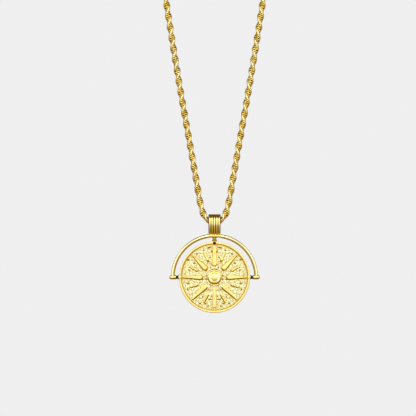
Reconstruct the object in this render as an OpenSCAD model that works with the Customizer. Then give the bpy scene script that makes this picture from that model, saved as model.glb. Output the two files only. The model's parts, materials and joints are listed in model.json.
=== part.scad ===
// Sun pendant necklace. A round medallion turns on two side pins in a round-wire
// yoke, and the yoke hangs by a reeded bail on a twisted rope chain.
// The loop lies in the XZ plane and its front faces -Y. +Z is up, and the origin
// is the middle of the clasp, at the nape. Sizes are in millimetres.

/* [Chain] */
// Diameter of the rope chain
chain_d = 1.7; // [1.4:0.05:1.8]
// Height of the loop, from its lowest point to the middle of the clasp
loop_h = 211; // [180:1:300]

/* [Clasp] */
// Middle radius of the clasp ring
clasp_r = 2.4; // [2:0.1:3.5]
// Wire diameter of the clasp ring
clasp_wire_d = 1; // [0.7:0.05:1.1]
// Outer diameter of an end cap
cap_d = 2.3; // [2.2:0.05:3]
// Length of an end cap
cap_l = 3; // [2:0.1:5]
// Middle radius of the eye on an end cap
eye_r = 0.95; // [0.9:0.05:1.1]
// Wire diameter of the eye on an end cap
eye_wire_d = 0.5; // [0.4:0.05:0.6]

/* [Bail] */
// Width of the bail along the chain
bail_w = 3.4; // [3:0.1:4]
// Inner radius of the bail, clear of the bent chain
bail_r = 1.34; // [1.3:0.01:1.6]
// Thickness of the bail from its bore to the crest of a reed
bail_t = 0.51; // [0.4:0.01:0.7]
// Number of reeds across the bail
reed_n = 5; // [3:1:7]
// Angle over the axis where the round top of the bail runs into its bowed legs
bail_turn = 20; // [15:1:30]
// Height of the bail's axis over the pivot axis
bail_z = 16; // [15:0.1:17]

/* [Yoke] */
// Middle radius of the yoke
yoke_r = 11.73; // [11.5:0.01:12]
// Wire diameter of the yoke
yoke_wire_d = 1.08; // [0.9:0.02:1.2]
// Diameter of the barrel at each end of the yoke
barrel_d = 1.16; // [1.1:0.02:1.4]
// Distance from the middle of the medallion to the inner end of a barrel
barrel_in = 10.82; // [10.7:0.01:10.9]
// Distance from the middle of the medallion to the outer end of a barrel
barrel_out = 12.76; // [12.6:0.01:13]
// Diameter of the stop post between the yoke and the medallion
post_d = 1.08; // [0.9:0.02:1.2]
// Diameter of the flared foot of the stop post
post_foot_d = 1.42; // [1.3:0.02:1.6]

/* [Medallion] */
// Diameter of the medallion
medal_d = 20; // [19.8:0.05:20.05]
// Thickness of the medallion at its rim
medal_t = 1.2; // [1:0.05:1.4]
// Width of the polished rim
rim_w = 0.8; // [0.6:0.05:1]
// Depth of the front ground below the rim
ground_dip = 0.35; // [0.2:0.01:0.45]
// Depth of the plain back below the rim
back_dip = 0.1; // [0.05:0.01:0.2]
// Diameter of the boss that carries a pivot pin
boss_d = 1.34; // [1.26:0.02:1.4]

/* [Sun] */
// Distance from the middle to the inner end of a short ray
short_in = 5; // [4.6:0.05:5.5]
// Distance from the middle to the tip of a short ray
short_out = 7.7; // [6.5:0.05:8]
// Width of a short ray at its wide end
short_w = 0.8; // [0.6:0.02:0.9]
// Width of a short ray at its tip
short_tip_w = 0.2; // [0.1:0.02:0.4]
// Diameter of the round flange at the middle of the sun
flange_d = 3.6; // [3:0.05:3.8]
// Diameter of the dome at the middle of the sun
dome_d = 2.2; // [1.6:0.05:2.4]
// Number of beads round the flange
bead_n = 16; // [8:1:16]

/* [Pins] */
// Diameter of a pivot pin
pin_d = 0.6; // [0.5:0.02:0.64]
// Diameter of the collar on a pivot pin
pin_collar_d = 0.96; // [0.8:0.02:1]

/* [Hidden] */
$fn = 64;

// Clearances
seat_gap = 0.02;
run_gap = 0.03;
face_gap = 0.05;
sweep_gap = 0.11;

// Heights measured from the origin
chain_low_z = -loop_h;
bail_over_chain = 0.34;
bail_axis_z = chain_low_z + bail_over_chain;
pivot_z = bail_axis_z - bail_z;

// Right half of the chain's route from its lowest point to the clasp: distance
// from the middle, and height over the lowest point
ROUTE = [[0, 0], [0.9, 0.12], [1.75, 0.5], [2.5, 1.15], [3.1, 2.1], [3.45, 3.2],
    [4, 5.3], [4.85, 10], [6.6, 20], [10.1, 40], [13.3, 60], [18.5, 100],
    [22.4, 140], [24.2, 175], [24, 187], [22.5, 195.5], [19.3, 202.5],
    [14.8, 207.6], [9.9, 210.3], [6.6, 211], [4, 211]];
route_steps = 2;
chain_sides = 8;

// Long rays on the right half, repeated on the left: angle up from +X, distance of
// the inner end and of the outer end, width at the inner end and at the outer end
RAYS = [[90, 3.1, 9.1, 1.45, 1], [45, 3.1, 8.8, 1.5, 0.3], [0, 3.35, 8.9, 1.35, 0.4],
    [-45, 3.2, 8.8, 1.45, 0.3], [-90, 2.8, 8.7, 0.9, 1.05]];
ray_dip = 0.3;

// Short rays stand halfway between the long ones, all round
short_n = 8;

gold = [0.93, 0.76, 0.33];
pale_gold = [0.97, 0.88, 0.55];
dark_steel = [0.1, 0.09, 0.09];

// Whole route from the left end to the right end, through the lowest point
route_n = len(ROUTE);
loop_pts = [for (i = [1 - route_n : route_n - 1])
    [sign(i) * ROUTE[abs(i)][0], ROUTE[abs(i)][1] + chain_low_z]];
loop_n = len(loop_pts);

function span(i) = norm(loop_pts[i + 1] - loop_pts[i]);
function way(i) = (loop_pts[i + 1] - loop_pts[i]) / span(i);
function heading(i) =
    i == 0 ? way(0) :
    i == loop_n - 1 ? way(i - 1) :
    (way(i) * span(i - 1) + way(i - 1) * span(i)) / (span(i - 1) + span(i));

// Point on span i at t from 0 to 1, on a cubic with the headings of its ends
function curve(i, t) =
    loop_pts[i] * (2 * t * t * t - 3 * t * t + 1)
    + heading(i) * span(i) * (t * t * t - 2 * t * t + t)
    + loop_pts[i + 1] * (3 * t * t - 2 * t * t * t)
    + heading(i + 1) * span(i) * (t * t * t - t * t);

path = [for (i = [0 : loop_n - 2]) for (k = [0 : route_steps - 1])
    curve(i, k / route_steps), loop_pts[loop_n - 1]];
path_n = len(path);

function unit(v) = v / norm(v);
function along(k) = unit(path[min(k + 1, path_n - 1)] - path[max(k - 1, 0)]);

// Points of a round corner, centre c and radius r, from angle a0 to a1
function round_corner(c, r, a0, a1, n = 6) = [for (k = [0 : n])
    c + r * [cos(a0 + (a1 - a0) * k / n), sin(a0 + (a1 - a0) * k / n)]];

// The twisted chain as a plain tube along its route
module rope_chain() {
    ring_pts = [for (k = [0 : path_n - 1]) for (s = [0 : chain_sides - 1])
        let (a = 360 * (s + 0.5) / chain_sides)
        let (d = along(k), side = chain_d / 2 * cos(a))
        [path[k][0] + side * d[1], chain_d / 2 * sin(a), path[k][1] - side * d[0]]];
    walls = [for (k = [0 : path_n - 2]) for (s = [0 : chain_sides - 1])
        let (t = (s + 1) % chain_sides, a = k * chain_sides, b = a + chain_sides)
        [a + s, b + s, b + t, a + t]];
    first = [for (s = [0 : chain_sides - 1]) s];
    last = [for (s = [chain_sides - 1 : -1 : 0]) (path_n - 1) * chain_sides + s];
    color(gold) polyhedron(ring_pts, concat([first], walls, [last]), convexity = 8);
}

// A cup that holds one end of the chain, with the eye that the clasp passes through
module end_cap(side) {
    eye_x = clasp_r + 0.1;
    cap_x = eye_x + eye_r + eye_wire_d / 2 - 0.15;
    chain_end_x = ROUTE[route_n - 1][0];
    color(gold) mirror([side < 0 ? 1 : 0, 0, 0]) {
        translate([eye_x, 0, 0])
            rotate_extrude() translate([eye_r, 0]) circle(d = eye_wire_d);
        translate([cap_x, 0, 0]) rotate([0, 90, 0]) difference() {
            cylinder(d = cap_d, h = cap_l);
            translate([0, 0, chain_end_x - cap_x - face_gap])
                cylinder(d = chain_d + 2 * face_gap, h = cap_l);
        }
    }
}

// The clasp, one plain ring that links the two eyes
module clasp() {
    color(gold) rotate([90, 0, 0])
        rotate_extrude() translate([clasp_r, 0]) circle(d = clasp_wire_d);
}

// Section through the band of the bail: distance from its axis, and place along it
module bail_section() {
    pitch = (bail_w - 0.1) / reed_n;
    reed_r = 0.52 * pitch;
    reed_h = 0.5 * reed_r;
    translate([bail_r, -bail_w / 2]) square([bail_t - reed_h, bail_w]);
    for (i = [0 : reed_n - 1])
        translate([bail_r + bail_t - reed_r, (i - (reed_n - 1) / 2) * pitch])
            circle(r = reed_r);
}

// The bail, a band bent over the chain whose two bowed legs close on the yoke.
// Each half runs down from the top: first round the axis, then on a wider bow
module bail() {
    top_r = bail_r + bail_t;
    foot_y = 0.4;
    chord = top_r * [cos(bail_turn), sin(bail_turn)] - [foot_y, yoke_r - bail_z];
    bow_turn = bail_turn + atan(chord[0] / chord[1]);
    bow_r = norm(chord) / (2 * sin(bow_turn));
    for (side = [0, 1])
        mirror([0, side, 0]) rotate([0, 90, 0]) mirror([1, 0, 0]) {
            rotate_extrude(angle = 90 - bail_turn) bail_section();
            rotate([0, 0, 90 - bail_turn]) translate([top_r - bow_r, 0])
                rotate_extrude(angle = 2 * bow_turn)
                translate([bow_r - top_r, 0]) bail_section();
        }
}

// A barrel that a pivot pin turns in, with its outer end rounded
module barrel() {
    r = barrel_d / 2;
    h = barrel_out - barrel_in;
    rotate_extrude() polygon(concat([[0, 0], [r, 0]],
        round_corner([0, h - r], r, 0, 90)));
}

// The stop post, from the yoke down to just over the medallion's rim
module stop_post() {
    tip_z = medal_d / 2 + sweep_gap;
    r = post_d / 2;
    foot_r = post_foot_d / 2;
    rotate_extrude() polygon([[0, tip_z], [foot_r - 0.1, tip_z], [foot_r, tip_z + 0.1],
        [foot_r, tip_z + 0.24], [r, tip_z + 0.6], [r, tip_z + 0.9],
        [r + 0.1, yoke_r - 0.2], [0, yoke_r]]);
}

// Bail, yoke, stop post and barrels, soldered into one
module hanger() {
    color(gold) translate([0, 0, pivot_z]) difference() {
        union() {
            rotate([90, 0, 0]) rotate_extrude(angle = 180)
                translate([yoke_r, 0]) circle(d = yoke_wire_d);
            translate([0, 0, bail_z]) bail();
            stop_post();
            for (side = [-1, 1])
                rotate([0, side * 90, 0]) translate([0, 0, barrel_in]) barrel();
        }
        for (side = [-1, 1])
            rotate([0, side * 90, 0]) translate([0, 0, barrel_in - 1])
                cylinder(d = pin_d + 2 * run_gap, h = barrel_out - barrel_in + 0.6);
    }
}

// One ray along +X, a cone with round ends whose axis is sunk below the ground
module ray(inner, outer, inner_w, outer_w) {
    r0 = norm([inner_w / 2, ray_dip]);
    r1 = norm([outer_w / 2, ray_dip]);
    translate([0, 0, -ray_dip]) rotate([0, 90, 0]) rotate_extrude()
        polygon(concat(round_corner([0, inner + r0], r0, -90, 0),
            round_corner([0, outer - r1], r1, 0, 90)));
}

// The sun: rays, flange, dome and ring of beads, raised over the front ground
module sun(ground_z) {
    bead_r = 0.22;
    bead_gap = 0.35;
    flange_h = 0.3;
    dome_dip = 0.1;
    translate([0, 0, ground_z]) {
        for (row = RAYS) for (side = [0 : abs(row[0]) == 90 ? 0 : 1])
            rotate([0, 0, side == 0 ? row[0] : 180 - row[0]])
                ray(row[1], row[2], row[3], row[4]);
        for (i = [0 : short_n - 1])
            rotate([0, 0, (i + 0.5) * 360 / short_n])
                ray(short_in, short_out, short_w, short_tip_w);
        for (i = [0 : bead_n - 1])
            rotate([0, 0, (i + 0.5) * 360 / bead_n])
                translate([flange_d / 2 + bead_r + bead_gap, 0, 0]) sphere(bead_r);
        translate([0, 0, -ground_z])
            cylinder(r1 = flange_d / 2 + 0.1, r2 = flange_d / 2 - 0.2,
                h = ground_z + flange_h);
        translate([0, 0, -dome_dip]) sphere(d = dome_d);
    }
}

// The round plate, from its middle to its edge, with a rounded rim
module plate(ground_z) {
    r = medal_d / 2;
    half = medal_t / 2;
    corner = 0.24;
    rotate_extrude() polygon(concat(
        [[0, back_dip - half], [r - rim_w - back_dip, back_dip - half],
            [r - rim_w, -half]],
        round_corner([r - corner, corner - half], corner, -90, 0, 4),
        round_corner([r - corner, half - corner], corner, 0, 90, 4),
        [[r - rim_w, half], [r - rim_w - 0.1, ground_z], [0, ground_z]]));
}

// The medallion, with a bored boss on each side and a notch under the stop post
module medallion() {
    ground_z = medal_t / 2 - ground_dip;
    boss_out = barrel_in - 0.57;
    bore_in = 9.3;
    notch_r = 0.41;
    notch_depth = 0.68;
    color(pale_gold) translate([0, 0, pivot_z]) rotate([90, 0, 0]) difference() {
        union() {
            plate(ground_z);
            intersection() {
                sun(ground_z);
                cylinder(r = medal_d / 2 - rim_w, h = 3);
            }
            for (side = [-1, 1])
                rotate([0, side * 90, 0]) translate([0, 0, medal_d / 2 - rim_w])
                    cylinder(d = boss_d, h = boss_out - medal_d / 2 + rim_w);
        }
        for (side = [-1, 1])
            rotate([0, side * 90, 0]) translate([0, 0, bore_in])
                cylinder(d = pin_d + 2 * seat_gap, h = 3);
        translate([0, medal_d / 2 - notch_depth, medal_t / 2 - 0.05]) rotate([-90, 0, 0])
            cylinder(r = notch_r, h = 2);
    }
}

// A pivot pin, held in the medallion and turning in the barrel
module pivot_pin(side) {
    pin_in = 9.35;
    pin_out = barrel_out - 0.45;
    collar_in = barrel_in - 0.55;
    color(dark_steel) translate([0, 0, pivot_z]) rotate([0, side * 90, 0]) {
        translate([0, 0, pin_in]) cylinder(d = pin_d, h = pin_out - pin_in);
        translate([0, 0, collar_in])
            cylinder(d = pin_collar_d, h = barrel_in - face_gap - collar_in);
    }
}

rope_chain();
end_cap(-1);  // end_cap_left
end_cap(1);  // end_cap_right
clasp();
hanger();
medallion();
pivot_pin(-1);  // pivot_pin_left
pivot_pin(1);  // pivot_pin_right
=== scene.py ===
"""Sun pendant necklace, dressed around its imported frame. Lengths named _MM are millimetres."""

import json
import math
from collections import namedtuple

import bpy
import numpy as np
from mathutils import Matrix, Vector


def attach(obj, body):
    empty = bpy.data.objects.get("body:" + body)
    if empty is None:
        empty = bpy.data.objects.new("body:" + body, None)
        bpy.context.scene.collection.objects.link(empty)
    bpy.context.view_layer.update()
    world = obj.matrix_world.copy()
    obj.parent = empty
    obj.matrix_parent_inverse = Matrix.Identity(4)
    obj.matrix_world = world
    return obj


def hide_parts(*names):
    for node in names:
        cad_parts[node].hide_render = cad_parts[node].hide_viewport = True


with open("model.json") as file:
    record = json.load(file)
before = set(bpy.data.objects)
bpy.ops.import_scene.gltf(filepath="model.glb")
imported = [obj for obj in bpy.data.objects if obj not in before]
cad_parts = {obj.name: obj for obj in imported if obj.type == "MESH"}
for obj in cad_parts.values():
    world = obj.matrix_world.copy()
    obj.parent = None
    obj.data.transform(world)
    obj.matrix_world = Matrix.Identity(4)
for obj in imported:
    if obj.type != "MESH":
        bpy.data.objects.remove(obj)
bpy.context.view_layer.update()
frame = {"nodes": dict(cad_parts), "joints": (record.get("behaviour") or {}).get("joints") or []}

MM = 0.001

# The chain's route, as in the part's source: the right half from its lowest point to
# the clasp, distance from the middle and height over the lowest point
LOOP_H_MM = 211
ROUTE_MM = [(0, 0), (0.9, 0.12), (1.75, 0.5), (2.5, 1.15), (3.1, 2.1), (3.45, 3.2),
    (4, 5.3), (4.85, 10), (6.6, 20), (10.1, 40), (13.3, 60), (18.5, 100),
    (22.4, 140), (24.2, 175), (24, 187), (22.5, 195.5), (19.3, 202.5),
    (14.8, 207.6), (9.9, 210.3), (6.6, 211), (4, 211)]
ROUTE_STEPS = 60

# Where the pendant turns, from the frame's joints
PIVOT = {j["name"]: j["pos_m"] for j in frame["joints"]}
SPIN_Z_MM = PIVOT["medallion_spin"][2] / MM
SWING_Z_MM = PIVOT["pendant_swing"][2] / MM

# The photograph's frame: its side in pixels, its scale, and the pendant's pivot in it
PHOTO_SIDE_PX = 416
PX_PER_MM = 3.55
PENDANT_X_PX = 214.5
PENDANT_Y_PX = 277.3
CAMERA_DISTANCE = 0.6
CAMERA_CLIP = (0.01, 20)
SENSOR_MM = 36


def add_camera():
    """The camera looks level along +Y, square to the medallion, as in the photograph."""
    data = bpy.data.cameras.new("camera")
    data.sensor_width = SENSOR_MM
    data.lens = SENSOR_MM * CAMERA_DISTANCE / (PHOTO_SIDE_PX / PX_PER_MM * MM)
    data.clip_start, data.clip_end = CAMERA_CLIP
    camera = bpy.data.objects.new("camera", data)
    bpy.context.collection.objects.link(camera)
    middle_px = PHOTO_SIDE_PX / 2
    camera.location = ((middle_px - PENDANT_X_PX) / PX_PER_MM * MM, -CAMERA_DISTANCE,
        (SPIN_Z_MM + (PENDANT_Y_PX - middle_px) / PX_PER_MM) * MM)
    camera.rotation_euler = (math.radians(90), 0, 0)
    bpy.context.scene.camera = camera


add_camera()


# Mesh helpers

# Stands in for a distance of zero where it divides
TINY = 1e-6


def mesh_object(name, verts, faces):
    """A smooth mesh object from arrays of points and of four-cornered faces."""
    verts = np.asarray(verts, dtype=np.float32)
    faces = np.asarray(faces, dtype=np.int32)
    mesh = bpy.data.meshes.new(name)
    mesh.vertices.add(len(verts))
    mesh.vertices.foreach_set("co", verts.ravel())
    mesh.loops.add(faces.size)
    mesh.loops.foreach_set("vertex_index", faces.ravel())
    mesh.polygons.add(len(faces))
    mesh.polygons.foreach_set("loop_start", np.arange(0, faces.size, 4, dtype=np.int32))
    mesh.polygons.foreach_set("use_smooth", np.full(len(faces), True))
    mesh.update()
    mesh.validate()
    piece = bpy.data.objects.new(name, mesh)
    bpy.context.collection.objects.link(piece)
    return piece


def set_numbers(piece, name, values):
    """Keeps one number at each point of a mesh, for its material to read."""
    kept = piece.data.attributes.new(name, "FLOAT", "POINT")
    kept.data.foreach_set("value", np.asarray(values, dtype=np.float32).ravel())


def set_material(piece, material):
    piece.data.materials.clear()
    piece.data.materials.append(material)


def grid_faces(rows, columns, closed_rows=False):
    """Faces between the points of a grid that was numbered row by row. The columns are
    closed into rings, and so are the rows if closed_rows."""
    i = np.arange(rows if closed_rows else rows - 1)
    i, j = np.meshgrid(i, np.arange(columns), indexing="ij")
    i2, j2 = (i + 1) % rows, (j + 1) % columns
    corners = (i * columns + j, i2 * columns + j, i2 * columns + j2, i * columns + j2)
    return np.stack(corners, -1).reshape(-1, 4)


def turns(count):
    """The angles of so many points round a circle."""
    return 2 * np.pi * np.arange(count) / count


def rise(value, start, end):
    """0 up to start, 1 from end on, and straight between. Start may be the larger."""
    return np.clip((value - start) / (end - start), 0, 1)


# Materials

COAT_ROUGHNESS = 0.08
NOISE_ROUGHNESS = 0.55


class Nodes:
    """Short names for building the node tree of one new material or world."""

    def __init__(self, owner):
        owner.use_nodes = True
        self.owner = owner
        self.tree = owner.node_tree
        self.tree.nodes.clear()
        kind = "World" if isinstance(owner, bpy.types.World) else "Material"
        self.output = self.add("ShaderNodeOutput" + kind)

    def add(self, kind, **values):
        node = self.tree.nodes.new(kind)
        for key, value in values.items():
            setattr(node, key, value)
        return node

    def put(self, value, socket):
        """Gives a socket a number, a colour or what comes from another socket."""
        if isinstance(value, tuple):
            socket.default_value = (*value, 1.0)
        elif isinstance(value, (int, float)):
            socket.default_value = value
        else:
            self.tree.links.new(value, socket)

    def place(self, kind="Object"):
        return self.add("ShaderNodeTexCoord").outputs[kind]

    def split(self, vector):
        node = self.add("ShaderNodeSeparateXYZ")
        self.put(vector, node.inputs[0])
        return node.outputs

    def noise(self, where, scale, detail=3.0):
        """Soft noise of so many patches a metre."""
        node = self.add("ShaderNodeTexNoise")
        self.put(scale, node.inputs["Scale"])
        self.put(detail, node.inputs["Detail"])
        self.put(NOISE_ROUGHNESS, node.inputs["Roughness"])
        self.put(where, node.inputs["Vector"])
        return node.outputs["Fac"]

    def attribute(self, name):
        """A number that the mesh keeps at each point."""
        return self.add("ShaderNodeAttribute", attribute_name=name).outputs["Fac"]

    def span(self, value, from_lo, from_hi, to_lo=0.0, to_hi=1.0):
        """Goes smoothly from to_lo to to_hi where the value goes from from_lo to from_hi."""
        node = self.add("ShaderNodeMapRange", interpolation_type="SMOOTHSTEP")
        for key, number in (("Value", value), ("From Min", from_lo), ("From Max", from_hi),
                ("To Min", to_lo), ("To Max", to_hi)):
            self.put(number, node.inputs[key])
        return node.outputs["Result"]

    def math(self, operation, *values):
        node = self.add("ShaderNodeMath", operation=operation)
        for value, socket in zip(values, node.inputs):
            self.put(value, socket)
        return node.outputs[0]

    def times(self, product, *factors):
        for factor in factors:
            product = self.math("MULTIPLY", product, factor)
        return product

    def mix(self, factor, a, b):
        """A colour between a and b, which are colours or sockets."""
        node = self.add("ShaderNodeMix", data_type="RGBA")
        for value, k in ((factor, 0), (a, 6), (b, 7)):
            self.put(value, node.inputs[k])
        return node.outputs[2]

    def ramp(self, value, stops):
        """The levels or colours of some stops, straight between them."""
        node = self.add("ShaderNodeValToRGB")
        self.put(value, node.inputs[0])
        elements = node.color_ramp.elements
        for k, (place, level) in enumerate(stops):
            element = elements[k] if k < 2 else elements.new(place)
            element.position = place
            element.color = (*(level if isinstance(level, tuple) else (level,) * 3), 1)
        return node.outputs[0]

    def bump(self, height, distance, strength):
        node = self.add("ShaderNodeBump")
        self.put(strength, node.inputs["Strength"])
        self.put(distance, node.inputs["Distance"])
        self.put(height, node.inputs["Height"])
        return node.outputs["Normal"]

    def metal(self, color, roughness, normal=None, metallic=1.0, coat=0.0,
            edge=(1.0, 1.0, 1.0)):
        """The material's surface. Edge is what it turns towards where seen at a slant."""
        node = self.add("ShaderNodeBsdfPrincipled")
        for key, value in (("Base Color", color), ("Roughness", roughness),
                ("Metallic", metallic), ("Coat Weight", coat),
                ("Coat Roughness", COAT_ROUGHNESS), ("Specular Tint", edge)):
            self.put(value, node.inputs[key])
        if normal is not None:
            self.put(normal, node.inputs["Normal"])
        self.put(node.outputs[0], self.output.inputs[0])

    def plain(self, kind, color):
        """A shader of one colour, for the stage."""
        node = self.add(kind)
        self.put(color, node.inputs["Color"])
        return node

    def choose(self, factor, a, b):
        """Ends the tree in a shader between a and b."""
        node = self.add("ShaderNodeMixShader")
        for value, socket in zip((factor, a.outputs[0], b.outputs[0]), node.inputs):
            self.put(value, socket)
        self.put(node.outputs[0], self.output.inputs[0])


# Plate on the hanger, end caps and clasp
GOLD = (0.93, 0.69, 0.20)
GOLD_DEEP = (0.90, 0.62, 0.13)
# Painted shade: in the bail's grooves, on the bail's edges and top, the stop post and the
# barrels' undersides, and inside the yoke
GOLD_GROOVE_SHADE = (0.12, 0.06, 0.01)
GOLD_SHADE = (0.50, 0.26, 0.006)
GOLD_OLIVE_SHADE = (0.46, 0.30, 0.02)
# The chain's rings, their painted highlight on the outermost parts, and the painted shade on the
# part of them that lies inside
LINK_GOLD = (0.90, 0.69, 0.19)
LINK_DEEP = (0.60, 0.38, 0.04)
LINK_HIGHLIGHT = (0.90, 0.74, 0.28)
LINK_CORE_SHADE = (0.38, 0.21, 0.02)
# The medallion: raised parts, ground with the painted shade of its seams, painted shade in
# crevices and pits with their middle, and rim
GOLD_SHINE = (0.98, 0.74, 0.155)
GOLD_PALE = (1.0, 0.92, 0.37)
GOLD_SATIN = (0.92, 0.69, 0.18)
GOLD_RECESS_SHADE = (0.46, 0.23, 0.008)
GOLD_AMBER_SHADE = (0.60, 0.32, 0.0)
GOLD_PIT_SHADE = (0.22, 0.08, 0.0)
GOLD_RIM = (1.0, 0.86, 0.5)
# Pins and the dark notch; the same black is painted as shade on the barrels and bosses beside
# the pins
BLACK = (0.012, 0.006, 0.003)
SOOT_WORN = (0.045, 0.024, 0.010)
SOOT_SHEEN = (0.8, 0.45, 0.2)

# Parts of the hanger as in the part's source, as distances from the middle and heights
# over the pivots. PIN_MM is the middle of a pin's bare part
REED_PITCH_MM = 0.66
BAIL_FOOT_MM = 12.3
BAIL_TOP_MM = 17.85
BAIL_SIDE_MM = 1.62
POST_HALF_MM = 0.72
POST_FOOT_MM = 10
POST_TOP_MM = 11.3
YOKE_INNER_MM = 11.19
BARREL_MM = 10.7
BARREL_R_MM = 0.7
PIN_MM = 10.535


def fitting_gold(name):
    """Polished gold plate: faint changes of colour and fine scratches, with painted shade in the
    grooves and on the edges and top of the bail, on the stop post, inside the yoke, under the
    barrels and round the pivots, and a painted highlight along the yoke's front."""
    n = Nodes(bpy.data.materials.new(name))
    where = n.place()
    x, _, z = n.split(where)
    side = n.times(x, 1 / MM)
    wide = n.math("ABSOLUTE", side)
    up = n.math("SUBTRACT", n.times(z, 1 / MM), SPIN_Z_MM)
    tone = n.noise(where, 900.0)
    fine = n.noise(where, 8000.0, detail=2.0)
    color = n.mix(n.span(tone, 0.35, 0.7), GOLD, GOLD_DEEP)

    # The bail: painted shade on its edges and top, and in the grooves between its reeds
    on_bail = n.times(n.span(up, BAIL_FOOT_MM, BAIL_FOOT_MM + 0.3),
        n.span(up, BAIL_TOP_MM + 1, BAIL_TOP_MM + 2, 1.0, 0.0),
        n.span(wide, BAIL_SIDE_MM + 0.15, BAIL_SIDE_MM + 0.2, 1.0, 0.0))
    edge = n.math("MAXIMUM", n.span(wide, BAIL_SIDE_MM - 0.25, BAIL_SIDE_MM, 0.0, 0.85),
        n.span(up, BAIL_TOP_MM - 1.3, BAIL_TOP_MM - 0.6, 0.0, 0.7))
    color = n.mix(n.times(edge, on_bail), color, GOLD_SHADE)
    turn = n.math("FRACT", n.times(side, 1 / REED_PITCH_MM))
    off = n.math("ABSOLUTE", n.math("SUBTRACT", turn, 0.5))
    groove = n.times(n.span(off, 0.28, 0.08, 0.0, 0.9), on_bail)
    color = n.mix(groove, color, GOLD_GROOVE_SHADE)

    # The stop post, darkened as painted shade
    on_post = n.times(n.span(wide, POST_HALF_MM, POST_HALF_MM + 0.1, 1.0, 0.0),
        n.span(up, POST_TOP_MM, POST_TOP_MM + 0.15, 1.0, 0.0),
        n.span(up, POST_FOOT_MM - 0.1, POST_FOOT_MM))
    color = n.mix(on_post, color, GOLD_SHADE)

    # The yoke: painted shade on its inner side, and a painted highlight along its front
    reach = n.math("SQRT", n.math("ADD", n.times(wide, wide), n.times(up, up)))
    on_yoke = n.times(n.span(wide, 1.2, 2.4), n.span(up, 0.6, 0.8))
    inner = n.times(n.span(reach, YOKE_INNER_MM, YOKE_INNER_MM + 0.25, 0.3, 1.0),
        n.span(reach, YOKE_INNER_MM + 0.42, YOKE_INNER_MM + 0.72, 0.7, 0.0))
    color = n.mix(n.times(inner, on_yoke), color, GOLD_OLIVE_SHADE)
    crest_highlight = n.times(n.span(reach, YOKE_INNER_MM + 0.5, YOKE_INNER_MM + 0.75),
        n.span(reach, YOKE_INNER_MM + 0.85, YOKE_INNER_MM + 1.1, 0.6, 0.0))
    color = n.mix(n.times(crest_highlight, on_yoke), color, GOLD_PALE)

    # The barrels' undersides darkened as painted shade, and black painted shade on what faces
    # the bare pins
    near_axis = n.span(n.math("ABSOLUTE", up), BARREL_R_MM, BARREL_R_MM + 0.05, 1.0, 0.0)
    under = n.times(n.span(wide, BARREL_MM, BARREL_MM + 0.05),
        n.span(up, 0.2, -0.4, 0.2, 0.85))
    color = n.mix(n.times(under, near_axis), color, GOLD_SHADE)
    gap = n.math("ABSOLUTE", n.math("SUBTRACT", wide, PIN_MM))
    color = n.mix(n.times(n.span(gap, 0.32, 0.52, 0.95, 0.0), near_axis), color, BLACK)

    rough = n.math("ADD", n.span(fine, 0.3, 0.75, 0.12, 0.21), n.times(groove, 0.2))
    normal = n.bump(n.math("ADD", tone, n.times(fine, 0.15)), 0.01 * MM, 0.35)
    n.metal(color, rough, normal, coat=0.15)
    return n.owner


def link_gold(name):
    """Polished gold links, with a painted highlight on their outermost parts and painted shade
    where they meet inside.
    """
    n = Nodes(bpy.data.materials.new(name))
    where = n.place()
    tone = n.noise(where, 1300.0)
    fine = n.noise(where, 9000.0, detail=2.0)
    depth = n.attribute("outside")
    outside = n.span(depth, 0.3, 0.7)
    bright = n.mix(n.span(tone, 0.35, 0.7), LINK_GOLD, LINK_DEEP)
    # Painted highlight on the outermost parts, and painted shade on the inner parts
    bright = n.mix(n.span(depth, 0.82, 0.97), bright, LINK_HIGHLIGHT)
    color = n.mix(outside, LINK_CORE_SHADE, bright)
    rough = n.math("ADD", n.span(fine, 0.3, 0.75, 0.16, 0.26),
        n.span(outside, 0.0, 1.0, 0.25, 0.0))
    n.metal(color, rough, n.bump(tone, 0.01 * MM, 0.3), coat=0.05)
    return n.owner


def medallion_gold(name):
    """Cast gold: frosted pale ground, polished raised parts, and painted shade in the seams,
    pits and crevices.
    """
    n = Nodes(bpy.data.materials.new(name))
    where = n.place()
    polish = n.attribute("polish")
    pit = n.attribute("pit")
    grain = n.noise(where, 6000.0, detail=2.0)
    blotch = n.noise(where, 900.0)
    ground = n.mix(n.attribute("tone"), GOLD_PALE, GOLD_SATIN)
    # Painted shade in the ground's seams, along its border and on the back
    ground = n.mix(n.attribute("valley"), ground, GOLD_RECESS_SHADE)
    shine = n.mix(n.span(blotch, 0.35, 0.75), GOLD_SHINE, GOLD_DEEP)
    color = n.mix(polish, ground, shine)
    # Amber and dark: painted shade in pits, crevices and the rim's groove, and a little over the
    # rim
    color = n.mix(n.span(pit, 0.0, 0.6), color, GOLD_AMBER_SHADE)
    color = n.mix(n.span(pit, 0.4, 1.0, 0.0, 0.75), color, GOLD_PIT_SHADE)
    color = n.mix(n.attribute("notch_black"), color, BLACK)
    rough = n.math("SUBTRACT", n.span(grain, 0.3, 0.7, 0.30, 0.42), n.times(polish, 0.12))
    matt = n.math("SUBTRACT", 1.0, n.times(polish, 0.9))
    n.metal(color, rough, n.bump(n.times(grain, matt), 0.05 * MM, 0.6), edge=GOLD_RIM)
    return n.owner


def dark_steel(name):
    """Blackened steel with a faint worn sheen."""
    n = Nodes(bpy.data.materials.new(name))
    patch = n.noise(n.place(), 2500.0)
    color = n.mix(n.span(patch, 0.3, 0.8), BLACK, SOOT_WORN)
    n.metal(color, n.span(patch, 0.3, 0.8, 0.35, 0.55), metallic=0.8, edge=SOOT_SHEEN)
    return n.owner


# Rope chain: oval rings, every other one on the other side of a twisted core. Half a
# ring measures LINK_RING_MM away from the core and LINK_LONG_MM across the chain, to the
# middle of its wire. LINK_WIRE_MM is the wire's radius

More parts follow.
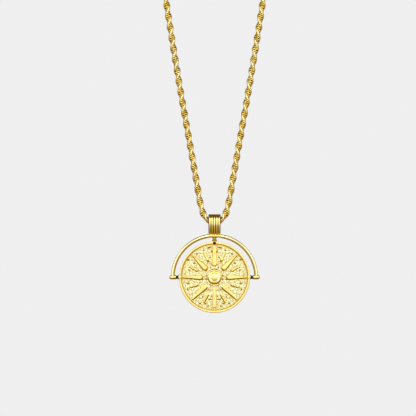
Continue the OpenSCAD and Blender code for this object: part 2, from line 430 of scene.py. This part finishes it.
CHAIN_RADIUS_MM = 1.0
LINK_WIRE_MM = 0.22
LINK_RING_MM = 0.52
LINK_LONG_MM = 0.70
LINK_OUT_MM = CHAIN_RADIUS_MM - LINK_WIRE_MM - LINK_RING_MM
LINK_STEP_MM = 0.30
LINK_SLANT_DEG = 50
LINK_SIDES = 16
WIRE_SIDES = 6

# Length of one whole twist, where the first starts, and how much further on it is at the
# bail. That extra fades out between the two distances along the chain
TWIST_PITCH_MM = 6.16
TWIST_START_MM = 1.98
TWIST_EASE_MM = 0.75
EASE_FROM_MM = 5
EASE_TO_MM = 14

# Half width of the bail, and the radius that it leaves free round the swing axis
BAIL_HALF_MM = 1.78
BAIL_ROOM_MM = 1.12


def route_samples():
    """Points along the right half of the route, on the cubic that the source uses."""
    right = np.array(ROUTE_MM, dtype=float)
    left = right[1:][::-1] * (-1, 1)
    points = np.concatenate([left, right])
    step = np.diff(points, axis=0)
    span = np.linalg.norm(step, axis=1)
    way = step / span[:, None]
    heading = np.empty_like(points)
    heading[0], heading[-1] = way[0], way[-1]
    before, after = span[:-1, None], span[1:, None]
    heading[1:-1] = (way[1:] * before + way[:-1] * after) / (before + after)
    t = np.linspace(0, 1, ROUTE_STEPS, endpoint=False)[:, None]
    out = []
    for i in range(len(left), len(points) - 1):
        out.append(points[i] * (2 * t**3 - 3 * t**2 + 1)
            + heading[i] * span[i] * (t**3 - 2 * t**2 + t)
            + points[i + 1] * (3 * t**2 - 2 * t**3)
            + heading[i + 1] * span[i] * (t**3 - t**2))
    out.append(points[-1:])
    return np.concatenate(out)


def rope_links(side):
    """For every ring on one side of the loop: its centre, the way out from the core, the
    way across, and the way along the chain."""
    line = route_samples()
    length = np.concatenate([[0], np.cumsum(np.linalg.norm(np.diff(line, axis=0), axis=1))])
    count = int((length[-1] - LINK_RING_MM) / LINK_STEP_MM)
    s = (np.arange(count) + 0.5) * LINK_STEP_MM
    x, z = (np.interp(s, length, line[:, k]) for k in (0, 1))
    tangent = np.gradient(line, length, axis=0)
    tx, tz = (np.interp(s, length, tangent[:, k]) for k in (0, 1))
    size = np.hypot(tx, tz)
    zero = np.zeros(count)
    along = np.stack([tx / size, zero, tz / size], 1)
    inward = np.stack([-tz / size, zero, tx / size], 1)
    depth = np.stack([zero, zero + 1, zero], 1)
    t = rise(s, EASE_FROM_MM, EASE_TO_MM)
    eased = s - TWIST_START_MM + TWIST_EASE_MM * (1 - t * t * (3 - 2 * t))
    turn = 2 * np.pi * eased / TWIST_PITCH_MM + np.pi * (np.arange(count) % 2)
    out = np.cos(turn)[:, None] * inward + np.sin(turn)[:, None] * depth
    slant = math.radians(LINK_SLANT_DEG)
    lean = math.cos(slant) * along - math.sin(slant) * np.cross(along, out)
    centre = np.stack([x, zero, z - LOOP_H_MM], 1) + out * LINK_OUT_MM
    mirror = np.array([side, 1, 1])
    return centre * mirror, out * mirror, lean * mirror, along * mirror


def inside_bail(points):
    """Presses link parts that stand out too far in under the bail, which swings past."""
    arm = points[..., 1:] - (0, SWING_Z_MM)
    reach = np.linalg.norm(arm, axis=-1, keepdims=True)
    under = np.abs(points[..., :1]) < BAIL_HALF_MM
    arm *= np.where(under, np.minimum(1, BAIL_ROOM_MM / np.maximum(reach, TINY)), 1)
    return np.concatenate([points[..., :1], arm + (0, SWING_Z_MM)], -1)


def rope_piece(name, side):
    """One side of the rope chain as a joined mesh of rings."""
    centre, out, across, along = (way[:, None, None] for way in rope_links(side))
    ring = turns(LINK_SIDES)[None, :, None, None]
    wire = turns(WIRE_SIDES)[None, None, :, None]
    thick = LINK_WIRE_MM * np.cos(wire)
    points = centre + np.cos(ring) * (LINK_RING_MM + thick) * out
    points = points + np.sin(ring) * (LINK_LONG_MM + thick) * across
    points = points + LINK_WIRE_MM * np.sin(wire) * np.cross(out, across)
    points = inside_bail(points)
    one = grid_faces(LINK_SIDES, WIRE_SIDES, closed_rows=True)
    if side > 0:
        one = one[:, ::-1]
    shift = np.arange(len(centre))[:, None, None] * LINK_SIDES * WIRE_SIDES
    faces = (one[None] + shift).reshape(-1, 4)
    piece = mesh_object(name, points.reshape(-1, 3) * MM, faces)
    arm = points - (centre - out * LINK_OUT_MM)
    arm -= along * (arm * along).sum(-1, keepdims=True)
    set_numbers(piece, "outside", np.linalg.norm(arm, axis=-1) / CHAIN_RADIUS_MM)
    return piece


# Medallion: a height field over polar rings, closed round the rim and the back. What is
# named dark, shade, polish or frost is a share, from 0 to 1

MEDAL_R_MM = 10.0
MEDAL_HALF_MM = 0.6
SECTORS = 720
GROUND_RINGS = 104
GROUND_MM = 0.25
GROUND_R_MM = 9.15
GROUND_R_FADE_MM = 0.12
GROUND_FROM_MM = 1.85
GROUND_FROM_FADE_MM = 0.2
CORNER_MM = 0.16
# The groove inside the rim, and how dark its painted shade is
GROOVE_MM = (9.17, 9.4)
GROOVE_DARK = 0.45
RIM_POLISH = 0.85
RIM_DARK = 0.14
BACK_MM = -0.5
BACK_POLISH = 0.5
BACK_SHADE = 0.2

# The notch over the upper ray: half width, where it and its black start, and the height of its
# round's middle
NOTCH_R_MM = 0.41
NOTCH_FOOT_MM = 9.32
BLACK_FOOT_MM = 9.12
NOTCH_AXIS_MM = 0.55

# Flange with a dish round the dome
FLANGE_R_MM = 1.8
FLANGE_TOP_MM = 0.28
FLANGE_ROUND_MM = 0.4
DISH_R_MM = 1.35
DISH_FLAT_MM = 1.1
DISH_MM = 0.05
DOME_R_MM = 1.05
DOME_FOOT_MM = 0.24
DOME_RISE_MM = 0.16
# Crevices round the flange and the dome: their radius, and how dark their painted shade is below
# and above
BOSS_CREVICES = [(FLANGE_R_MM + 0.1, 0.75, 0.3), (DOME_R_MM + 0.08, 0.15, 0.0)]
# The flange's top and bottom in painted shade, and its frosted left and right sides painted
# paler as a highlight: how much, and how far up or out on its circle they start and are whole
FLANGE_SHADE = 0.28
SHADE_FROM = 0.72
SHADE_TO = 0.92
FLANGE_FROST_HIGHLIGHT = 0.7
FROST_HIGHLIGHT_FROM = 0.3
FROST_HIGHLIGHT_TO = 0.8
# Ring of beads
BEAD_RING_MM = 2.37
BEAD_R_MM = 0.22
BEAD_SINK_MM = 0.02
BEAD_COUNT = 16

# Rays on the right half, with the sizes of the part's source: angle up from +X, distance of the
# inner and of the outer end, width at each, and how dark the painted shade in the crevice beside
# the ray is below and above it
Ray = namedtuple("Ray", "angle inner outer inner_w outer_w below above")
RAYS_MM = [Ray(90, 3.1, 9.1, 1.45, 1, 0.4, 0.1), Ray(45, 3.1, 8.8, 1.5, 0.3, 0.6, 0.4),
    Ray(0, 3.35, 8.9, 1.35, 0.4, 1, 0.3), Ray(-45, 3.2, 8.8, 1.45, 0.3, 1, 0),
    Ray(-90, 2.8, 8.7, 0.9, 1.05, 0.2, 0.1), Ray(67.5, 5, 7.7, 0.8, 0.2, 0.25, 0.1),
    Ray(22.5, 5, 7.7, 0.8, 0.2, 0.6, 0.3), Ray(-22.5, 5, 7.7, 0.8, 0.2, 0.9, 0.1),
    Ray(-67.5, 5, 7.7, 0.8, 0.2, 0.9, 0.1)]
# Height of a ray that is RAY_HALF_MM wide on each side, and the power that rounds it
RAY_TOP_MM = 0.30
RAY_HALF_MM = 0.75
RAY_ROUND = 8
# How wide the painted shade of a crevice fades beside its edge, and the level it starts from,
# cut off at 1
CREVICE_MM = 0.21
CREVICE_CORE = 1.3

# Pits in the ground on the right half: distance right and up from the middle, half length across
# and half height. They reach PIT_SPREAD times as far with their soft edges, and their painted
# shade is PIT_DARK times their depth, up to PIT_DARK_MOST
PITS_MM = [(1.49, 8.4, 0.4, 0.2), (0.78, 7.26, 0.2, 0.2), (1.27, 5.57, 0.19, 0.22),
    (1.8, 4.5, 0.27, 0.28), (5.71, 4.0, 0.32, 0.18), (7.11, 2.0, 0.28, 0.18),
    (7.35, 4.95, 0.32, 0.22), (4.9, 6.6, 0.22, 0.2), (7.4, -1.66, 0.46, 0.16),
    (7.57, -3.38, 0.2, 0.26), (1.27, -6.25, 0.48, 0.16), (0.85, -5.4, 0.17, 0.17),
    (3.34, -5.4, 0.18, 0.18), (4.1, -7.35, 0.3, 0.18), (2.5, -7.35, 0.3, 0.17),
    (5.9, -6.1, 0.2, 0.2), (3.0, 7.6, 0.2, 0.2), (1.1, 2.8, 0.16, 0.18),
    (2.28, 0.55, 0.15, 0.15), (2.28, -0.4, 0.15, 0.15), (0.68, 2.15, 0.14, 0.14),
    (1.0, -2.4, 0.2, 0.15), (1.6, -3.4, 0.17, 0.17), (1.8, -8.1, 0.2, 0.18),
    (2.3, 2.0, 0.24, 0.2), (3.3, -0.66, 0.22, 0.14)]
PIT_SPREAD = 1.6
PIT_DEPTH_MM = 0.22
PIT_DARK = 2.4
PIT_DARK_MOST = 1.3

# Grain and lobes of the ground: their spacing, the half width and depth of the seams
# between them, how much they change the tone, and the seeds of their patterns. Their
# points keep CELL_MARGIN away from the sides of their squares
GRAIN_MM = 0.55
GRAIN_SEAM = 0.35
GRAIN_DEPTH_MM = 0.08
GRAIN_TONE = 1.1
GRAIN_SEED = 5
LOBE_MM = 1.05
LOBE_SEAM = 0.25
LOBE_DEPTH_MM = 0.07
LOBE_TONE = 0.5
LOBE_SEED = 8
CELL_MARGIN = 0.1
# What is taken off the tone, how deep a deep tone lies, the painted shade of the grain's seams,
# and the half width and painted shade of the ground's border
TONE_SHIFT = 0.45
TONE_DEPTH_MM = 0.05
SEAM_SHADE = 0.6
BORDER_MM = 0.14
BORDER_SHADE = 0.8
# Heights over the ground between which a raised part gets its polish
POLISH_FROM_MM = -0.01
POLISH_TO_MM = 0.03

# Barbs beside the short rays: between which distances from the middle, and how far from
# the ray's own middle line they start and end
LACE_FROM_MM = 4.2
LACE_TO_MM = 8.5
LACE_FADE_MM = 0.3
BARB_FROM_MM = 0.35
BARB_FROM_FADE_MM = 0.1
BARB_TO_MM = 1.7
BARBS_PER_MM = 1.05
BARB_SLOPE = 1.1
BARB_HALF = 0.22
BARB_RISE_MM = 0.08
SHORT_RAY_DEG = 22.5


def crevice(gap, up, below, above):
    """How dark the painted shade in a raised edge's crevice is, from the distance to the edge
    and how far the edge faces up, from -1 to 1: darker where the edge faces down."""
    dark = above + (below - above) * np.clip(0.5 - up, 0, 1)
    return np.clip(CREVICE_CORE - np.abs(gap) / CREVICE_MM, 0, 1) * dark


def ray_parts(x, y, ray):
    """Height over the ground and painted crevice shade of one ray and its mirror image: a bar
    with a flat middle and round sides, lower where it is narrower."""
    x = np.abs(x)
    c, s = math.cos(math.radians(ray.angle)), math.sin(math.radians(ray.angle))
    along, across = x * c + y * s, y * c - x * s
    start, end = ray.inner + ray.inner_w / 2, ray.outer - ray.outer_w / 2
    t = rise(along, start, end)
    half = (ray.inner_w + (ray.outer_w - ray.inner_w) * t) / 2
    rest = along - (start + (end - start) * t)
    away = np.maximum(np.hypot(across, rest), TINY)
    off = away / half
    top = RAY_TOP_MM * np.sqrt(half / RAY_HALF_MM)
    height = np.where(off < 1, top * (1 - np.minimum(off, 1) ** RAY_ROUND), -1)
    up = (rest * s + across * c) / away
    return height, crevice(away - half, up, ray.below, ray.above)


def cells(x, y, size, seed):
    """Of some scattered points, how much nearer the nearest is than the next one, over
    their spacing, and the nearest one's tone. Both halves have the same pattern."""
    rng = np.random.default_rng(seed)
    u, v = np.abs(x) / size + 1, (y + MEDAL_R_MM) / size + 1
    spread = rng.uniform(0, 1, (int(2 * MEDAL_R_MM / size) + 5,) * 2 + (3,))
    i, j = np.floor(u).astype(int), np.floor(v).astype(int)
    near, after = np.full_like(x, 9.0), np.full_like(x, 9.0)
    tone = np.zeros_like(x)
    for di in (-1, 0, 1):
        for dj in (-1, 0, 1):
            place = CELL_MARGIN + (1 - 2 * CELL_MARGIN) * spread[i + di, j + dj]
            d = np.hypot(i + di + place[..., 0] - u, j + dj + place[..., 1] - v)
            after = np.minimum(after, np.maximum(near, d))
            tone = np.where(d < near, spread[i + di, j + dj, 2], tone)
            near = np.minimum(near, d)
    return after - near, tone


def pits(x, y):
    """1 in the middle of each pit and 0 at its edge, smooth between."""
    deep = np.zeros_like(x)
    for cx, cy, rx, ry in PITS_MM:
        d = (((np.abs(x) - cx) / rx) ** 2 + ((y - cy) / ry) ** 2) / PIT_SPREAD**2
        deep = np.maximum(deep, (1 - np.clip(d, 0, 1)) ** 2)
    return deep


def boss_parts(x, y):
    """Height over the ground, painted shade in the crevices and on the flange's top and bottom,
    and the flange's frosted sides painted paler as a highlight, for the flange and dome in the
    middle."""
    r = np.hypot(x, y)
    edge = rise(r, FLANGE_R_MM, FLANGE_R_MM - FLANGE_ROUND_MM)
    flange = FLANGE_TOP_MM * np.sqrt(1 - (1 - edge) ** 2)
    dish = DISH_MM * rise(r, DISH_R_MM, DISH_FLAT_MM)
    dome = DOME_FOOT_MM + DOME_RISE_MM * (1 - (r / DOME_R_MM) ** 2)
    height = np.where(r < FLANGE_R_MM, flange - dish, -1)
    height = np.maximum(height, np.where(r < DOME_R_MM, dome, -1))
    up, wide = y / np.maximum(r, TINY), np.abs(x) / np.maximum(r, TINY)
    on_flange = (r > DOME_R_MM) & (r < FLANGE_R_MM)
    dark = FLANGE_SHADE * on_flange * rise(np.abs(up), SHADE_FROM, SHADE_TO)
    for radius, below, above in BOSS_CREVICES:
        dark = np.maximum(dark, crevice(r - radius, up, below, above))
    return height, dark, FLANGE_FROST_HIGHLIGHT * on_flange * rise(wide, FROST_HIGHLIGHT_FROM, FROST_HIGHLIGHT_TO)


def lace(x, y):
    """Raised veins and barbs beside the short rays, from 0 to 1."""
    r, a = np.hypot(x, y), np.degrees(np.arctan2(y, x))
    off = np.abs((a + 360) % (2 * SHORT_RAY_DEG) - SHORT_RAY_DEG)
    side = np.radians(off) * r
    gate = (rise(r, LACE_FROM_MM, LACE_FROM_MM + LACE_FADE_MM)
        * rise(r, LACE_TO_MM, LACE_TO_MM - LACE_FADE_MM)
        * rise(side, BARB_FROM_MM, BARB_FROM_MM + BARB_FROM_FADE_MM)
        * rise(side, BARB_TO_MM, BARB_TO_MM - LACE_FADE_MM))
    barb = np.abs(((r - side * BARB_SLOPE) * BARBS_PER_MM) % 1 - 0.5)
    return gate * np.clip(1 - barb / BARB_HALF, 0, 1)


def front(x, y):
    """Height of the medallion's front over its middle plane in millimetres, and how far each
    point is polished, less on the flange's sides painted paler as a highlight, in a valley, of a
    deeper tone, and how dark it is painted as shade in pits and crevices."""
    r = np.hypot(x, y)
    inside = rise(r, GROUND_FROM_MM, GROUND_FROM_MM + GROUND_FROM_FADE_MM)
    inside = inside * rise(r, GROUND_R_MM, GROUND_R_MM - GROUND_R_FADE_MM)
    seam, tone = cells(x, y, GRAIN_MM, GRAIN_SEED)
    lobe_seam, lobe_tone = cells(x, y, LOBE_MM, LOBE_SEED)
    seam = 1 - np.clip(seam / GRAIN_SEAM, 0, 1)
    lobe_seam = 1 - np.clip(lobe_seam / LOBE_SEAM, 0, 1)
    veins = lace(x, y)
    tone = GRAIN_TONE * tone + LOBE_TONE * lobe_tone - TONE_SHIFT
    tone = np.clip(tone, 0, 1) * inside * (1 - veins)
    valley = inside * np.maximum(SEAM_SHADE * seam, lobe_seam) * (1 - veins)
    border = np.clip(1 - np.abs(r - GROUND_R_MM) / BORDER_MM, 0, 1)
    valley = np.maximum(valley, BORDER_SHADE * border)
    pit = pits(x, y)
    h = inside * (BARB_RISE_MM * veins - GRAIN_DEPTH_MM * seam - LOBE_DEPTH_MM * lobe_seam
        - TONE_DEPTH_MM * tone) - PIT_DEPTH_MM * pit
    for k in range(BEAD_COUNT):
        a = math.radians((k + 0.5) * 360 / BEAD_COUNT)
        d = np.hypot(x - BEAD_RING_MM * math.cos(a), y - BEAD_RING_MM * math.sin(a))
        h = np.maximum(h, np.sqrt(np.maximum(BEAD_R_MM**2 - d**2, 0)) - BEAD_SINK_MM)
    relief, dark, frost_highlight = boss_parts(x, y)
    for ray in RAYS_MM:
        height, beside = ray_parts(x, y, ray)
        relief, dark = np.maximum(relief, height), np.maximum(dark, beside)
    polish = rise(relief, POLISH_FROM_MM, POLISH_TO_MM) - frost_highlight
    valley = valley * (1 - polish)
    pit = np.maximum(np.clip(pit * PIT_DARK, 0, PIT_DARK_MOST) * (1 - polish), dark)
    return GROUND_MM + np.maximum(h, relief), polish, valley, tone, pit


def rim_profile():
    """Distances and heights of three runs of rings: up the rim and over its edge, the
    back's border, and the recess in the back."""
    top = MEDAL_HALF_MM
    over = [(9.2, GROUND_MM - 0.04), (9.26, GROUND_MM - 0.06), (9.32, GROUND_MM - 0.02),
        (9.37, 0.35), (9.41, top - 0.12), (9.45, top - 0.05), (9.5, top - 0.02),
        (9.57, top), (9.65, top), (9.73, top), (9.8, top - 0.003)]
    corner = [(MEDAL_R_MM - CORNER_MM + CORNER_MM * math.cos(q),
        top - CORNER_MM + CORNER_MM * math.sin(q)) for q in np.radians(np.linspace(78, 0, 7))]
    over += corner + [(d, -z) for d, z in corner[::-1]]
    border = [(9.5, -top), (9.2, -top)]
    recess = [(d, BACK_MM) for d in (9.1, 8, 6, 4, 2, 0.6)]
    return over, border, recess


def cap_faces(middle, first):
    """Faces between a middle point and the ring of points that starts at first."""
    s = np.arange(0, SECTORS, 2)
    corners = (np.full(len(s), middle), first + s, first + s + 1, first + (s + 2) % SECTORS)
    return np.stack(corners, 1)


def medallion_piece(name):
    """The medallion's front, rim and back as one closed mesh."""
    over, border, recess = rim_profile()
    profile = np.array(over + border + recess)
    rim = GROUND_RINGS
    back = rim + len(over)
    plain = back + len(border)
    rings = np.linspace(0, GROUND_R_MM, GROUND_RINGS + 1)[1:]
    radius = np.concatenate([rings, profile[:, 0]])
    angle = turns(SECTORS)
    x, y = radius[:, None] * np.cos(angle), radius[:, None] * np.sin(angle)
    z, polish, valley, tone, pit = np.zeros((5,) + x.shape)
    z[:rim], polish[:rim], valley[:rim], tone[:rim], pit[:rim] = front(x[:rim], y[:rim])
    z[rim:] = profile[:, 1:]
    z[rim - 1] = GROUND_MM
    polish[rim:plain], pit[rim:plain] = RIM_POLISH, RIM_DARK
    polish[plain:], valley[plain:], tone[plain:] = BACK_POLISH, BACK_SHADE, 1
    # Painted shade in the groove inside the rim
    in_groove = (radius > GROOVE_MM[0]) & (radius < GROOVE_MM[1])
    in_groove[back:] = False
    pit[in_groove] = GROOVE_DARK
    # The notch, black inside and fading out just below it
    in_notch = (np.abs(x) < NOTCH_R_MM) & (z > 0)
    notch_black = rise(y, BLACK_FOOT_MM, NOTCH_FOOT_MM) * in_notch
    floor = NOTCH_AXIS_MM - np.sqrt(np.maximum(NOTCH_R_MM**2 - x**2, 0))
    z = np.where(in_notch & (y > NOTCH_FOOT_MM), np.minimum(z, floor), z)

    top = front(np.zeros(1), np.zeros(1))[0][0]
    caps = np.array([[0, -top, SPIN_Z_MM], [0, -BACK_MM, SPIN_Z_MM]])
    points = np.stack([x, -z, y + SPIN_Z_MM], -1).reshape(-1, 3)
    middle, last = len(points), (len(radius) - 1) * SECTORS
    faces = np.concatenate([grid_faces(len(radius), SECTORS), cap_faces(middle, 0),
        cap_faces(middle + 1, last)[:, [0, 3, 2, 1]]])
    piece = mesh_object(name, np.concatenate([points, caps]) * MM, faces)
    for key, values, ends in (("polish", polish, (1, BACK_POLISH)),
            ("valley", valley, (0, BACK_SHADE)), ("tone", tone, (0, 1)),
            ("pit", pit, (0, 0)), ("notch_black", notch_black, (0, 0))):
        set_numbers(piece, key, np.concatenate([values.ravel(), ends]))
    return piece


# A side boss: between which distances from the middle, its radius and round edge, and
# the socket for the pin with its wider mouth. HUB_MM keeps its ends just open
BOSS_IN_MM = 9.25
BOSS_OUT_MM = 10.25
BOSS_R_MM = 0.67
BOSS_ROUND_MM = 0.22
BOSS_SIDES = 40
SOCKET_R_MM = 0.31
SOCKET_DEPTH_MM = 0.5
MOUTH_R_MM = 0.34
MOUTH_DEPTH_MM = 0.06
HUB_MM = 0.02


def side_boss(name, side):
    """The rounded boss on the rim that holds a pivot pin."""
    bottom = BOSS_OUT_MM - SOCKET_DEPTH_MM
    profile = [(BOSS_IN_MM, HUB_MM), (BOSS_IN_MM, BOSS_R_MM)]
    profile += [(BOSS_OUT_MM - BOSS_ROUND_MM + BOSS_ROUND_MM * math.sin(q),
        BOSS_R_MM - BOSS_ROUND_MM + BOSS_ROUND_MM * math.cos(q))
        for q in np.radians(np.linspace(0, 90, 6))]
    profile += [(BOSS_OUT_MM, MOUTH_R_MM), (BOSS_OUT_MM - MOUTH_DEPTH_MM, SOCKET_R_MM),
        (bottom, SOCKET_R_MM), (bottom, HUB_MM)]
    along, reach = np.array(profile).T[:, :, None]
    angle = turns(BOSS_SIDES)
    x = side * along + 0 * angle
    y, z = reach * np.cos(angle), reach * np.sin(angle)
    points = np.stack([x, y, z + SPIN_Z_MM], -1).reshape(-1, 3)
    faces = grid_faces(len(profile), BOSS_SIDES, closed_rows=True)
    if side > 0:
        faces = faces[:, ::-1]
    return mesh_object(name, points * MM, faces)


# Pieces

plated_gold = fitting_gold("plated_gold")
chain_gold = link_gold("chain_gold")
cast_gold = medallion_gold("cast_gold")
pin_steel = dark_steel("pin_steel")

for name in ("end_cap_left", "end_cap_right", "clasp", "hanger"):
    set_material(frame["nodes"][name], plated_gold)
for name in ("pivot_pin_left", "pivot_pin_right"):
    set_material(frame["nodes"][name], pin_steel)

for name, side in (("rope_left", -1), ("rope_right", 1)):
    rope = rope_piece(name, side)
    set_material(rope, chain_gold)
    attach(rope, "chain")
    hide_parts("rope_chain")

medal = medallion_piece("medallion_face")
set_material(medal, cast_gold)
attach(medal, "medallion")
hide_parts("medallion")

for name, side in (("boss_left", -1), ("boss_right", 1)):
    boss = side_boss(name, side)
    set_material(boss, plated_gold)
    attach(boss, "medallion")


# Stage: pale floor and surround, soft studio light. Sizes are in metres

PAPER = (0.866, 0.866, 0.866)
FLOOR_WHITE = (1.0, 1.0, 0.93)
FLOOR_Z = -0.34
FLOOR_R = 6.0
FLOOR_SIDES = 64
FLOOR_FADE_FROM = 0.4
FLOOR_FADE_TO = 0.75


def add_floor():
    """A round pale floor that runs into the pale surround away from the object."""
    corners = [(FLOOR_R * math.cos(a), FLOOR_R * math.sin(a), FLOOR_Z)
        for a in turns(FLOOR_SIDES)]
    mesh = bpy.data.meshes.new("floor")
    mesh.from_pydata(corners, [], [list(range(FLOOR_SIDES))])
    floor = bpy.data.objects.new("floor", mesh)
    bpy.context.collection.objects.link(floor)
    n = Nodes(bpy.data.materials.new("floor_paper"))
    away = n.add("ShaderNodeVectorMath", operation="LENGTH")
    n.put(n.place(), away.inputs[0])
    far = n.span(away.outputs["Value"], FLOOR_FADE_FROM, FLOOR_FADE_TO)
    n.choose(far, n.plain("ShaderNodeBsdfDiffuse", FLOOR_WHITE),
        n.plain("ShaderNodeEmission", PAPER))
    set_material(floor, n.owner)
    floor.visible_glossy = False


# How much light the metal sees round it, from straight down (0) over the horizon (0.5)
# to straight up (1)
FRONT_LIGHT = [(0.0, 0.28), (0.15, 0.43), (0.29, 0.55), (0.38, 0.66), (0.45, 0.82),
    (0.50, 0.95), (0.60, 1.0), (0.72, 1.0), (0.80, 0.88), (0.86, 0.62), (0.93, 0.22),
    (1.0, 0.12)]
BACK_LIGHT = [(0.0, 0.2), (0.3, 0.4), (0.5, 0.6), (0.67, 0.5), (0.86, 0.25), (1.0, 0.15)]
FULL_LIGHT = 2.8
# The colour of that light, from none (0) to full (1): amber where gold lights itself,
# cool where the lamps are
LIGHT_COLORS = [(0.0, (0.45, 0.31, 0.08)), (0.19, (0.45, 0.33, 0.11)),
    (0.29, (0.45, 0.37, 0.17)), (0.39, (0.45, 0.39, 0.21)), (0.49, (0.45, 0.43, 0.41)),
    (0.61, (0.45, 0.47, 0.54)), (0.72, (0.45, 0.51, 0.86)), (1.0, (0.45, 0.54, 1.0))]
# What the flags on the left and right leave of it, and how far to the side they start
# and are whole
SIDE_FLAG = 0.5
SIDE_FROM = 0.45
SIDE_TO = 0.95
# How far ahead and behind the front light runs into the back light
BACK_FADE = 0.2


def add_world():
    """Pale to the camera; to the metal, bright in front and above, dark below."""
    world = bpy.data.worlds.new("studio")
    bpy.context.scene.world = world
    n = Nodes(world)
    across, ahead, up = n.split(n.place("Generated"))
    height = n.math("MULTIPLY_ADD", up, 0.5, 0.5)
    behind = n.span(ahead, -BACK_FADE, BACK_FADE)
    flag = n.span(n.math("ABSOLUTE", across), SIDE_FROM, SIDE_TO, 1.0, SIDE_FLAG)
    front_light = n.times(n.ramp(height, FRONT_LIGHT), n.math("SUBTRACT", 1.0, behind))
    back_light = n.times(n.ramp(height, BACK_LIGHT), behind)
    light = n.times(n.math("ADD", front_light, back_light), flag)
    lit = n.add("ShaderNodeBackground")
    n.put(n.ramp(light, LIGHT_COLORS), lit.inputs["Color"])
    n.put(n.times(light, FULL_LIGHT), lit.inputs["Strength"])
    seen = n.add("ShaderNodeLightPath").outputs["Is Camera Ray"]
    n.choose(seen, lit, n.plain("ShaderNodeBackground", PAPER))


# Soft lights: name, place from the pendant, width and height, and power in watts
SOFTBOXES = [("key", (0.0, -0.85, 0.6), (0.6, 0.4), 3.0),
    ("left", (-0.9, -0.55, 0.35), (0.25, 0.9), 2.0),
    ("right", (0.9, -0.55, 0.35), (0.25, 0.9), 2.0)]


def add_softbox(name, place, size, power):
    """A soft area light at a place round the pendant, aimed at it."""
    data = bpy.data.lights.new(name, "AREA")
    data.shape = "RECTANGLE"
    data.size, data.size_y = size
    data.energy = power
    light = bpy.data.objects.new(name, data)
    light.location = Vector((0, 0, SPIN_Z_MM * MM)) + Vector(place)
    light.rotation_euler = (-Vector(place)).to_track_quat("-Z", "Y").to_euler()
    light.visible_camera = False
    bpy.context.collection.objects.link(light)


add_floor()
add_world()
for softbox in SOFTBOXES:
    add_softbox(*softbox)

bpy.context.scene.view_settings.view_transform = "Standard"
